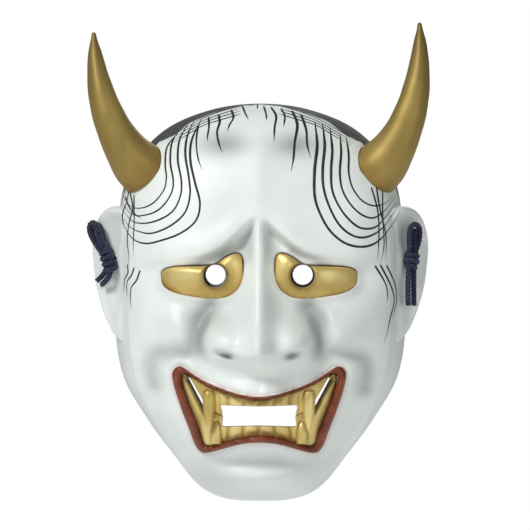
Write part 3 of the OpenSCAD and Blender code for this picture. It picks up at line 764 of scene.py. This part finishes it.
gofun = Finish("gofun_white", Roughness=0.4, Specular_IOR_Level=0.4)
cloud, speck = gofun.noise(38, 4), gofun.noise(420, 3)
eye_edge, lip_gap = gofun.painted("eye_gap"), gofun.painted("lip")
white = gofun.mixed(cloud.between(0.35, 0.7), srgb(233, 238, 236), srgb(243, 246, 243))
# The brow smudges are the mask's own grey paint; the rest of this grey is painted shade
shade = gofun.painted("smudge") * 0.62 + gofun.painted("hollow") * 0.36 + gofun.painted("creases") * 0.36
white = gofun.mixed(shade * (0.9 + cloud * 0.2), white, srgb(112, 118, 116))
# A painted reflection of the gilt eye plates: the white turns warm within 4 mm of each eye
white = gofun.mixed(eye_edge.between(4, 0) * 0.16, white, srgb(190, 160, 128))
streak = gofun.noise(260, 3, at=gofun.stretched((1, 0.18, 0.18)))
ink_edge = (gofun.painted("hair") + (streak - 0.5) * 0.9).between(0.5, -0.5)
combed = gofun.add("ShaderNodeCombineXYZ", None, {"X": gofun.painted("comb"), "Y": gofun.painted("around")})
strand = gofun.noise(700, 2, at=combed.outputs[0])
black = gofun.mixed(strand.between(0.38, 0.62), srgb(30, 31, 29), srgb(74, 77, 73))
white = gofun.mixed(ink_edge * 0.96, white, black)
white = gofun.mixed(eye_edge.between(1.1, 0.35) * gofun.painted("lid") * 0.9, white, srgb(50, 42, 34))
white = gofun.mixed(lip_gap.between(2.6, 0.0) * 0.28, white, srgb(214, 160, 148))
red = gofun.mixed(gofun.noise(120, 4).between(0.3, 0.75), srgb(112, 48, 24), srgb(144, 70, 40))
painted = gofun.mixed((lip_gap + (speck - 0.5) * 0.35).between(0.15, -0.25), white, red)
grain = gofun.noise(60, 6, at=gofun.stretched((3.2, 3.2, 0.35)))
lacquer = gofun.mixed(grain.between(0.3, 0.75), srgb(58, 36, 26), srgb(104, 70, 48))
# Painted shade: the lacquer is darker still in the eye holes, where the walls of the pupil bores show
dark = gofun.mixed(gofun.painted("in_hole"), lacquer, srgb(40, 32, 28))
gofun.colour(gofun.mixed(gofun.painted("outside").between(0.4, 0.6), dark, painted))
gofun.rough(0.34 + speck * 0.1 + ink_edge * 0.35)
gofun.relief(cloud * 0.8 + speck * 0.2, 0.00025, 0.35)
fitted(face, gofun.material, "mask", "face_shell", sharp=38)

# ---------------------------------------------------------------- hair
# The hair is ink, laid on over the white with a loaded brush: each stroke
# stands a little proud, swells where the brush was pressed and ends in a point.


def brush_tree():
    """Gives each drawn line a round body as thick as its own 'press' says."""
    nodes, given, line = line_tree("brush strokes", {"Sides": "Int", "Thickness": "Float",
                                                     "Material": "Material"})
    press = nodes.add("GeometryNodeInputNamedAttribute", {"data_type": "FLOAT"}, {"Name": "press"}).outputs[0]
    tip = nodes.add("GeometryNodeCurvePrimitiveCircle", None,
                    {"Resolution": given["Sides"], "Radius": given["Thickness"]}).outputs[0]
    return close_tree(nodes, given, line, tip, Scale=press)


ink = Finish("hair_ink", Roughness=0.5, Specular_IOR_Level=0.3)
ink.colour(ink.mixed(ink.noise(300, 3).between(0.3, 0.7), srgb(24, 25, 24), srgb(52, 54, 52)))
strokes_tree = brush_tree()
skin_tree = BVHTree.FromPolygons([vertex.co for vertex in face.data.vertices],
                                 [tuple(polygon.vertices) for polygon in face.data.polygons])
stroke_step, stroke_sunk, stroke_sides = 0.8, 0.55, 8


def on_skin(across, up, radius):
    """Where lines along Y first meet the carving, each place sunk a little along the carving's slope."""
    places, thick = [], []
    for a, b, r in zip(across, up, radius):
        hit, slope, _, _ = skin_tree.ray_cast(Vector((a * MM, -0.2, b * MM)), Vector((0, 1, 0)))
        if hit is not None and hit.y < -0.5 * MM:
            places.append(np.array(hit) / MM - stroke_sunk * r * np.array(slope))
            thick.append(r)
    return places, thick


def strokes(name, drawn, pointed=False):
    """Brush strokes, each its greatest width and its places in mm; a pointed one is fine at both ends."""
    lines, press = [], []
    for width, line in drawn:
        flat = spline(line, 8)
        travel = np.concatenate([[0], np.cumsum(np.linalg.norm(np.diff(flat, axis=0), axis=1))])
        even = np.arange(0, travel[-1], stroke_step)
        share = even / travel[-1]
        swell = np.minimum(smooth(-0.05, 0.12, share) if pointed else 1, smooth(1.0, 0.6, share))
        radius = 0.78 * width * (0.16 + 0.84 * swell * (0.85 + 0.15 * np.sin(share * 9)))
        places, thick = on_skin(*(np.interp(even, travel, column) for column in flat.T), radius)
        lines.append(np.reshape(places, (-1, 3)))
        press += thick
    source = drawn_lines(name, lines)
    paint(source, press=press)
    piece = swept(source, name, strokes_tree, Sides=stroke_sides, Thickness=MM, Material=ink.material)
    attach(piece, "mask")


# Five long locks on each side fall beside the horn and sweep out under it to the temple
strokes("hair_locks_left", pointed=True, drawn=[
    (1.15, [(-31.3, 97), (-36, 86.3), (-36.6, 75.7), (-34, 63.7), (-31.3, 53), (-33.3, 43.7), (-41.3, 37),
            (-52, 33), (-60.6, 31.4), (-68, 34.4), (-74, 43.7), (-76, 49)]),
    (1.1, [(-35.3, 96.3), (-38.6, 87.7), (-39.3, 78.3), (-37.3, 66.4), (-36.6, 57), (-39.3, 47.7),
           (-46.6, 41), (-56, 37), (-62.6, 37.3), (-69.3, 40.4), (-75, 48)]),
    (1.05, [(-38.6, 94.3), (-42.6, 86.3), (-43.3, 75.7), (-41.3, 65), (-41.6, 57), (-45.3, 49), (-52, 44.4),
            (-60, 42.1), (-67.3, 43), (-72.6, 48.4), (-75, 52)]),
    (1.0, [(-42.6, 91.7), (-46.6, 85), (-47.3, 74.4), (-45.6, 65), (-46.4, 58.4), (-50.6, 51.7), (-56, 47.7),
           (-64, 46), (-69.3, 47.7), (-74, 53)]),
    (0.95, [(-44.6, 89), (-49.3, 82.3), (-50, 73), (-49.3, 66.4), (-50.6, 59.7), (-56, 53), (-62.6, 50.1),
            (-68.6, 51), (-73, 56)])])
strokes("hair_locks_right", pointed=True, drawn=[
    (1.4, [(29.3, 96), (30.6, 83.7), (29.3, 70.4), (29.3, 57), (32, 47.7), (37.3, 38.4), (45.3, 31.7),
           (54.6, 29.7), (62.6, 32.4), (69.3, 39.7), (75, 49)]),
    (1.32, [(33.3, 95), (34.6, 83.7), (33.6, 71.7), (34, 61), (37.3, 50.4), (42.6, 41), (50, 35.4),
            (57.3, 35), (65.3, 39.7), (73.5, 51)]),
    (1.24, [(37.3, 92.7), (38.6, 81), (38, 70.4), (38.6, 59.7), (42.6, 50.4), (48.6, 43), (54.6, 39.4),
            (62, 40.4), (68.6, 47.7), (73, 54)]),
    (1.16, [(42.6, 89.7), (43.3, 79.7), (42.6, 69), (44, 59.7), (48.6, 51.7), (54.6, 46.4), (60.6, 45),
            (66.6, 49), (72, 56)]),
    (1.08, [(46, 87.7), (47.3, 78.3), (47.3, 69), (49.3, 61), (54, 54.4), (60, 51.4), (66, 52.4),
            (71.5, 57)])])
# Short wavy tufts hang from the crown over the forehead
strokes("hair_tufts", [
    (1.0, [(-9.3, 104.3), (-8, 101), (-6, 97)]),
    (1.1, [(-15.3, 102.3), (-14, 98.3), (-16, 94.3), (-17.3, 90.3)]),
    (1.2, [(-22, 99.7), (-21.3, 95.7), (-22.6, 90.3), (-21.3, 83.7), (-19.3, 79)]),
    (1.1, [(-27.3, 98.3), (-27, 93), (-27.7, 87.7), (-27.3, 85)]),
    (0.9, [(-32.6, 94.3), (-33.6, 86.3), (-32.6, 77), (-30, 69.7)]), (0.8, [(-1.3, 105.2), (-1.4, 102.8)]),
    (1.0, [(2, 104.3), (3.3, 100.3), (3.7, 96.3)]), (1.2, [(6, 103.7), (8.7, 99), (8, 93), (7.7, 85)]),
    (1.1, [(11.3, 103), (13.3, 99), (12.7, 93)]),
    (1.4, [(17.3, 101.7), (20, 94.3), (18.7, 85), (18, 75.7), (16.7, 69)]),
    (1.3, [(22, 99.7), (24.7, 91.7), (25.3, 83.7), (27.3, 76.4)])])
# Loose hairs fall from under each horn past the temple, and others run along the crown
strokes("hair_temples", [
    (0.9, [(-66.8, 57), (-66.6, 43.7), (-67, 33), (-67, 25)]),
    (1.0, [(-69, 58), (-67.4, 50), (-69.4, 42.3), (-70.4, 33.4), (-69.6, 25), (-69.6, 19)]),
    (1.0, [(-72, 56), (-69, 50), (-66, 46.6), (-62, 44.6)]), (0.9, [(-71.6, 62), (-73, 56), (-74.4, 51)]),
    (0.9, [(-69.6, 60), (-71, 53), (-73, 47), (-72.4, 41), (-70, 37)]),
    (0.9, [(-70.4, 20), (-70, 15.7), (-72, 11.7), (-72.4, 4)]),
    (0.9, [(-66.6, 18.5), (-68, 14.4), (-70.6, 10.4), (-70.4, 2)]),
    (0.9, [(-63.3, 17), (-65.3, 11.7), (-68.2, 7.7), (-68.6, 1), (-68, -4)]),
    (1.0, [(59.3, 61), (62.6, 49), (63.3, 37), (62.6, 22)]),
    (1.0, [(62, 61), (64, 49), (67, 35.7), (66.8, 22.4)]),
    (0.9, [(65.3, 61), (65.3, 46.4), (66, 30.4), (64, 20)]),
    (1.0, [(61.3, 19.5), (66.6, 10.4), (68, 3.7), (67.3, -1)]),
    (1.0, [(64, 20), (69.6, 9), (71.5, 1), (69.3, -8.3), (68, -15), (66, -21.6)]),
    (0.9, [(67.3, 19.7), (71.6, 10.4), (72.8, 1), (70, -10)])])
crown_line = np.array([(12, 104.2), (22, 101.2), (32, 97), (41, 91.8), (51, 86)])
strokes("hair_crown", pointed=True, drawn=[
    (0.75, (crown_line - [0.5 * drop, drop] + np.outer(crown_line[:, 0] > 30, [0, 0.25 * drop])) * [side, 1])
    for side in (-1, 1) for drop in (0, 1.3, 2.6, 4.0)])

# ---------------------------------------------------------------- eyes
# Each eye is a plate of beaten copper, gilded, let into the carved lids and
# pierced for the wearer to see through, with a raised ring round the pupil.
gilt = Finish("gilt_copper", Metallic=0.6, Specular_IOR_Level=0.5)
leaf, pore, dull_and_shade = gilt.noise(70, 5), gilt.noise(700, 2), gilt.painted("edge")
gold = gilt.mixed(leaf.between(0.3, 0.72), srgb(214, 178, 94), srgb(244, 214, 136))
# Painted highlights lighten the gilt, and painted shade darkens it and makes it rougher, where each plate
# marks them
gold = gilt.mixed(gilt.painted("glow"), gold, srgb(255, 238, 170))
gilt.colour(gilt.mixed(dull_and_shade * 0.75, gold, srgb(92, 74, 30)))
gilt.rough(0.36 + leaf * 0.14 + dull_and_shade * 0.2)
gilt.relief(leaf * 0.7 + pore * 0.3, 0.0003, 0.5)
ring_rise, ring_wide, eye_clear = 0.45, 1.3, 0.08
pillow, dish = 2.0, 0.8


def eye(side, name, node):
    """A plate between two balls, swollen between the lids and dished round the pupil."""
    sweep = eye_line - pupil
    far = np.linalg.norm(sweep, axis=1)
    hole, span = pupil_plate_d / 2, far - eye_clear - pupil_plate_d / 2
    shares = 1 - (1 - np.linspace(0, 1, 21)) ** 1.4
    rings, edge, glow = [], [], []
    for front, share in [(True, share) for share in shares] + [(False, share) for share in shares[::-1]]:
        away, rim = span * share, span * (1 - share)
        across, up = (pupil + sweep / far[:, None] * (hole + away)[:, None]).T
        y = ball_front(across, up, ball_r if front else ball_r - eye_plate + eye_clear)
        if front:
            y = y - ring_rise * mound((away - 1.4) / ring_wide) + 0.35 * mound(away / 0.4)
            y = y + pillow * (np.exp(-rim / 4.2) - 0.78) + dish * mound(away / 3.2)
        rings.append(np.stack([side * across, y, up], 1))
        # Painted shade round the pupil, under the lids and low down, where the plate is also rougher, and a
        # painted highlight in two places where the light falls
        edge.append(mound(away / 0.9) + 0.38 * mound(away / 4) + 0.25 * mound(rim / 0.7)
                    + 0.28 * smooth(5, -7, up - pupil_height))
        glow.append(0.7 * mound((across - 38) / 9) * mound((up - 14.5) / 4)
                    + 0.5 * mound((across - 13.5) / 3) * mound((up - 21) / 3.5))
    piece = closed_body(name, rings, looped=True)
    paint(piece, edge=np.clip(edge, 0, 1), glow=glow)
    fitted(piece, gilt.material, "mask", node, sharp=50)


eye(-1, "eye_plate_left", "eye_left")
eye(1, "eye_plate_right", "eye_right")

# ---------------------------------------------------------------- teeth
# Two gilt bands of carved teeth stand behind the lips with a gap to speak
# through. Each has a fang on both sides, let into the band at its root.
enamel = Finish("gilt_teeth", Metallic=0.55, Specular_IOR_Level=0.5)
wear, fine, dull_and_shade = enamel.noise(55, 5), enamel.noise(600, 2), enamel.painted("edge")
gold = enamel.mixed(wear.between(0.3, 0.72), srgb(206, 178, 98), srgb(246, 222, 150))
# Painted shade, marked on each band and fang, darkens the gilt and makes it rougher
enamel.colour(enamel.mixed(dull_and_shade, gold, srgb(66, 48, 24)))
enamel.rough(0.34 + wear * 0.16 + dull_and_shade * 0.25)
enamel.relief(wear * 0.7 + fine * 0.3, 0.0003, 0.5)
tooth_width, tooth_rise, fang_broad = 8.2, 0.8, 1.12
slit_at, slit_way = np.array([33.1, -47.3]), np.array([0.488, 0.873])


def tooth_band(node, name):
    """The frame's own band, cut fine and carved with rounded teeth on its front."""
    mesh = bmesh.new()
    mesh.from_mesh(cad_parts[node].data)
    bmesh.ops.remove_doubles(mesh, verts=mesh.verts, dist=1e-6)
    block = piece_of(name + "_block", [], [])
    mesh.to_mesh(block.data)
    mesh.free()
    remesh = block.modifiers.new("fine", "REMESH")
    remesh.mode, remesh.voxel_size = "VOXEL", 0.5 * MM
    ease = block.modifiers.new("ease", "SMOOTH")
    ease.factor, ease.iterations = 0.5, 3
    piece = settled(block, name)
    at = points_of(piece)
    normal = np.empty(3 * len(at))
    piece.data.vertices.foreach_get("normal", normal)
    facing = smooth(-0.25, -0.75, normal.reshape(-1, 3)[:, 1])
    x, z = at[:, 0].copy(), at[:, 2].copy()
    crown = abs(np.sin(math.pi * x / tooth_width)) ** 0.55
    biting = smooth(21.5, 19.5, abs(x))
    from_lip = np.maximum(-gap_to(x, z, lip_inner), 0)
    # The slit at each corner: a bevel down to it on the side away from the teeth, and its wall drawn in
    out, up = abs(x) - slit_at[0], z - slit_at[1]
    off, along = slit_way[1] * out - slit_way[0] * up, slit_way[0] * out + slit_way[1] * up
    by_slit = smooth(13, 9, abs(along + 1.5))
    bevel = smooth(0.2, 0.8, off) * smooth(3.6, 1.6, off) * by_slit
    drawn_in = 0.7 * smooth(0.1, 0.9, off) * smooth(4.5, 1.5, off) * by_slit
    at[:, 1] -= facing * (tooth_rise * crown * smooth(0.3, 3.5, from_lip) - 0.5 * (1 - crown)) * biting
    at[:, 1] += facing * 1.8 * bevel
    at[:, 0] -= slit_way[1] * np.sign(x) * drawn_in
    at[:, 2] += slit_way[0] * drawn_in
    piece.data.vertices.foreach_set("co", (at * MM).ravel())
    # Painted shade in the grooves between the teeth, under the lips, on faces turned away from the front and
    # on the bevel down to each slit
    groove, under_lip = 0.32 * biting * (1 - crown) ** 1.5, 0.42 * mound(from_lip / 1.3)
    shade_and_dull = np.maximum(groove, under_lip) * facing + (1 - facing) * 0.75 + 0.95 * bevel
    paint(piece, edge=np.clip(shade_and_dull, 0, 1))
    fitted(piece, enamel.material, "mask", node)


def fang(node, name, tip_up):
    """A curved cone with a swollen root, laid in the frame's own fang."""
    low, high = (np.array(corner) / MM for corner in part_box(node))
    side = 1 if low[0] + high[0] > 0 else -1
    middle, wide = (low + high) / 2, (high[0] - low[0]) / 2
    root_z, tip_z, inward = (low[2], high[2], 0.6) if tip_up else (high[2], low[2], 0.2)
    angle = np.linspace(0, 2 * math.pi, 32, endpoint=False)
    circle = np.stack([fang_broad * np.cos(angle), np.sin(angle), 0 * angle], 1)
    rings, edge = [], []
    for share in np.linspace(0, 1, 28):
        taper = np.interp(share, [0, 0.12, 0.4, 0.68, 0.88, 0.97, 1], [0.9, 0.99, 0.93, 0.71, 0.4, 0.2, 0.02])
        forward = 0.42 * math.sin(math.pi * share) - 0.6 * (0.5 - share)
        place = np.array([middle[0] - side * inward, middle[1] - forward, root_z + (tip_z - root_z) * share])
        rings.append(place + 0.96 * wide * taper * circle)
        # Painted shade at the root, where the fang meets its band, and on its back, which faces away from the
        # front
        edge.append(0.15 * (1 - smooth(0, 0.2, share)) + 0.3 * np.maximum(0, np.sin(angle)) ** 3)
    piece = closed_body(name, rings)
    paint(piece, edge=edge)
    fitted(piece, enamel.material, "mask", node)


tooth_band("upper_teeth", "upper_tooth_band")
tooth_band("lower_teeth", "lower_tooth_band")
for side in ("left", "right"):
    fang(f"upper_fang_{side}", f"fang_upper_{side}", False)
    fang(f"lower_fang_{side}", f"fang_lower_{side}", True)

# ---------------------------------------------------------------- horns
# Each horn is carved on its own and gilded over lacquer. Its round root sits
# in a seat in the brow and its dowel plugs into a bore, so it pulls out.
horn_gold = Finish("gilt_horn", Metallic=0.6, Specular_IOR_Level=0.4, Coat_Weight=0.04, Coat_Roughness=0.4)
brushed = horn_gold.noise(30, 5, at=horn_gold.stretched((1, 1, 0.3)))
grit = horn_gold.noise(500, 3)
gold = horn_gold.mixed(brushed.between(0.3, 0.72), srgb(148, 125, 66), srgb(188, 162, 94))
# Painted shade: the gilt is darker near the root, where the horn meets the brow
gold = horn_gold.mixed(horn_gold.painted("root") * 0.5, gold, srgb(140, 104, 46))
# Painted shade: darker up the upper half of the horn, most toward its tip
gold = horn_gold.mixed(horn_gold.painted("high") * 0.6, gold, srgb(104, 86, 42))
worn = (horn_gold.painted("tip") + (grit - 0.5) * 0.5).between(0.35, 0.7)
horn_gold.colour(horn_gold.mixed(worn * 0.85, gold, srgb(132, 66, 44)))
horn_gold.rough(0.46 + brushed * 0.16)
horn_gold.relief(brushed * 0.7 + grit * 0.3, 0.0004, 0.5)
horn_start, horn_reach_out, peg_glued = 1.0, 20.0, 14.0
horn_bend, horn_tip = np.array([26.8, -8.5, 38]), np.array([28.4, 0, 75])
horn_taper = [0.98, 0.975, 0.92, 0.83, 0.75, 0.69, 0.635, 0.58, 0.52, 0.445, 0.355, 0.25, 0.09]
horn_steps, horn_sides = 96, 64


def leaned(point, lean):
    """A point of the horn's line, tipped outward by lean degrees at the tip and less below it."""
    turn = math.radians(lean) * point[2] / horn_tip[2]
    return np.array([point[0] * math.cos(turn) + point[2] * math.sin(turn), point[1],
                     point[2] * math.cos(turn) - point[0] * math.sin(turn)])


def horn(node, side, lean, grow, worn_tip):
    """A bent, tapering horn with a flat seat, a hole for its dowel and a tip that closes in a small dome."""
    a, b = horn_start * horn_way, (horn_start + grow * horn_reach_out) * horn_way
    c, d = grow * leaned(horn_bend, lean), grow * leaned(horn_tip, lean)
    t = np.linspace(0, 1, horn_steps)[:, None]
    line = (1 - t) ** 3 * a + 3 * t * (1 - t) ** 2 * b + 3 * t ** 2 * (1 - t) * c + t ** 3 * d
    taper = spline([(share, 0) for share in horn_taper], 8)[:, 0]
    radius = root_d / 2 * np.interp(t[:, 0], np.linspace(0, 1, len(taper)), taper)
    way = np.gradient(line, axis=0)
    way[0] = horn_way
    way /= np.linalg.norm(way, axis=1)[:, None]
    # Each ring is its middle over the seat's floor, its way and its radius: dowel hole and root come first
    seated = [(0.01, peg_glued), (peg_d / 2, peg_glued), (peg_d / 2, 0.02), (root_d / 2 - 0.5, 0),
              (root_d / 2, 0.5), (root_d / 2, seat_depth * 0.7)]
    rings = [(height * horn_way, horn_way, wide) for wide, height in seated]
    rings += [ring for ring in zip(line, way, radius) if ring[0] @ horn_way > seat_depth * 0.95]
    for turn in np.linspace(0.3, math.pi / 2, 5):
        place = line[-1] + 1.2 * radius[-1] * math.sin(turn) * way[-1]
        rings.append((place, way[-1], max(radius[-1] * math.cos(turn), 0.02)))
    circles, angle = [], np.linspace(0, 2 * math.pi, horn_sides, endpoint=False)
    for i, (place, along, wide) in enumerate(rings):
        beside = np.cross(along, [0, 1, 0])
        beside /= np.linalg.norm(beside)
        high = max(0.0, place[2])
        # The carver's slight unevenness, on all but the seated root
        lumps = (0.012 * np.sin(3 * angle + 0.11 * high) + 0.010 * np.sin(5 * angle - 0.07 * high + 1)
                 + 0.008 * math.sin(high * 0.45)) * (i >= len(seated))
        circle = np.outer(np.cos(angle), beside) + np.outer(np.sin(angle), np.cross(beside, along))
        circles.append(mirrored(seat_floor + place + wide * (1 + lumps[:, None]) * circle, side))
    piece = closed_body(node + "_gilt", circles)
    ring_at = np.repeat(np.arange(len(rings)), horn_sides)
    above_seat = ring_at - len(seated)
    up_horn = above_seat / (len(rings) - len(seated) - 1)
    # root and high are painted shade; tip is where the gilt is worn
    paint(piece, root=np.exp(-np.maximum(above_seat + 1, 0) / 9), tip=smooth(0.9, 1.0, up_horn) * worn_tip,
          high=smooth(0.45, 0.97, ring_at / len(rings)))
    fitted(piece, horn_gold.material, node, node, sharp=50)


horn("horn_left", -1, 0, 0.976, 0.25)
horn("horn_right", 1, -3.5, 1.022, 1.0)

# ---------------------------------------------------------------- dowels
# A cypress dowel is glued into the root of each horn and turned to slide in
# the bore of the brow, with its lower end eased.
cypress = Finish("dowel_wood", Roughness=0.6)
ray = cypress.noise(90, 5, at=cypress.stretched((1.6, 1.6, 0.35)))
cypress.colour(cypress.mixed(ray.between(0.3, 0.72), srgb(168, 124, 80), srgb(206, 166, 116)))
cypress.relief(ray, 0.0002, 0.5)
for node in ("horn_peg_left", "horn_peg_right"):
    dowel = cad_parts[node]
    dowel.data.materials.clear()
    dowel.data.materials.append(cypress.material)
